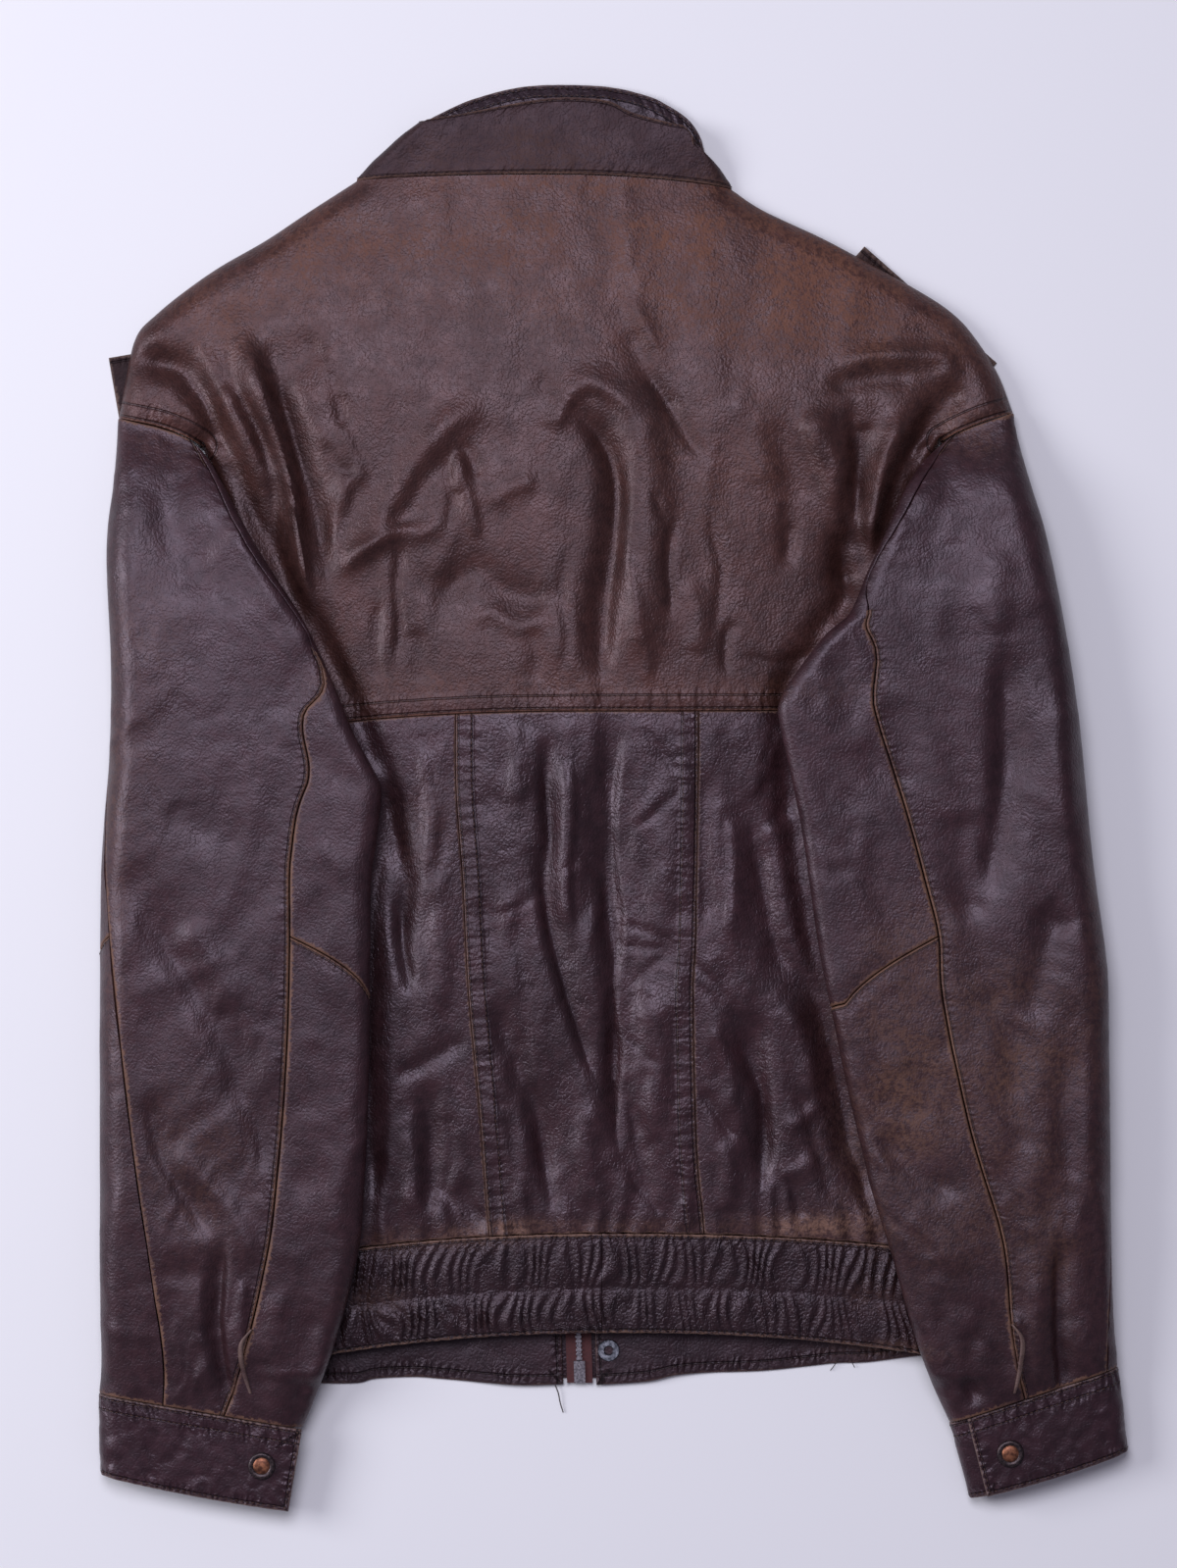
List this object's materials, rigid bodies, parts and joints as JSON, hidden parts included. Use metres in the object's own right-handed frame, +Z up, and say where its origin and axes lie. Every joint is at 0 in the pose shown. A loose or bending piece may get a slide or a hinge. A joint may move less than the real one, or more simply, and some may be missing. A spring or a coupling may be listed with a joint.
{
  "type": "worn leather jacket",
  "caption": "Dark brown worn leather blouson laid flat with its back up: yoke, lower back panels, elastic waistband, stand collar and snap cuffs.",
  "frame": {"origin": "middle of the footprint, on the surface that the jacket lies on", "axes": "+Y from the hem towards the collar, +Z up out of the surface, +X towards the wearer's right sleeve"},
  "size_m": [0.589, 0.8166, 0.041],
  "materials": {
    "yoke_leather": "matte worn brown leather, rubbed tan and speckled over the shoulders",
    "body_leather": "glossy purple-brown leather with a fine pebble grain and creases",
    "band_leather": "gathered brown leather, rubbed tan along its seam and lower edge",
    "front_leather": "dark brown leather",
    "sleeve_leather": "semi-gloss dark brown leather with worn tan seam edges",
    "cuff_leather": "glossy dark brown leather with scuffed edges",
    "collar_leather": "matte worn brown leather",
    "collar_edge_leather": "dark purple-brown leather with two topstitch rows",
    "zip_tape": "burgundy woven tape",
    "zip_metal": "dull silver metal",
    "snap_steel": "worn steel ring",
    "snap_copper": "worn snap cap, copper showing at its centre and dark at its rim"
  },
  "bodies": {
    "root": {"back_yoke": "yoke_leather", "back_left_panel": "body_leather", "back_centre_panel": "body_leather", "back_right_panel": "body_leather", "waistband_left": "band_leather", "waistband_right": "band_leather", "front_left": "front_leather", "front_right": "front_leather", "hem_front_left": "front_leather", "hem_front_right": "front_leather", "storm_flap": "front_leather", "zip_tape_left": "zip_tape", "zip_tape_right": "zip_tape", "zip_chain": "zip_metal", "zip_box": "zip_metal", "zip_slider": "zip_metal", "zip_tab": "zip_metal", "hem_snap_ring": "snap_steel", "collar_stand": "collar_leather", "collar_edge": "collar_edge_leather", "collar_front_left": "collar_leather", "collar_front_right": "collar_leather", "sleeve_left_outer_panel": "sleeve_leather", "sleeve_left_under_upper": "sleeve_leather", "sleeve_left_under_lower": "sleeve_leather", "sleeve_left_cuff": "cuff_leather", "sleeve_left_cuff_snap": "snap_copper", "sleeve_left_slit_edge": "cuff_leather", "sleeve_right_outer_panel": "sleeve_leather", "sleeve_right_under_upper": "sleeve_leather", "sleeve_right_under_lower": "sleeve_leather", "sleeve_right_cuff": "cuff_leather", "sleeve_right_cuff_snap": "snap_copper", "sleeve_right_slit_edge": "cuff_leather", "shoulder_strap_left": "sleeve_leather", "shoulder_strap_right": "sleeve_leather"}
  },
  "joints": []
}
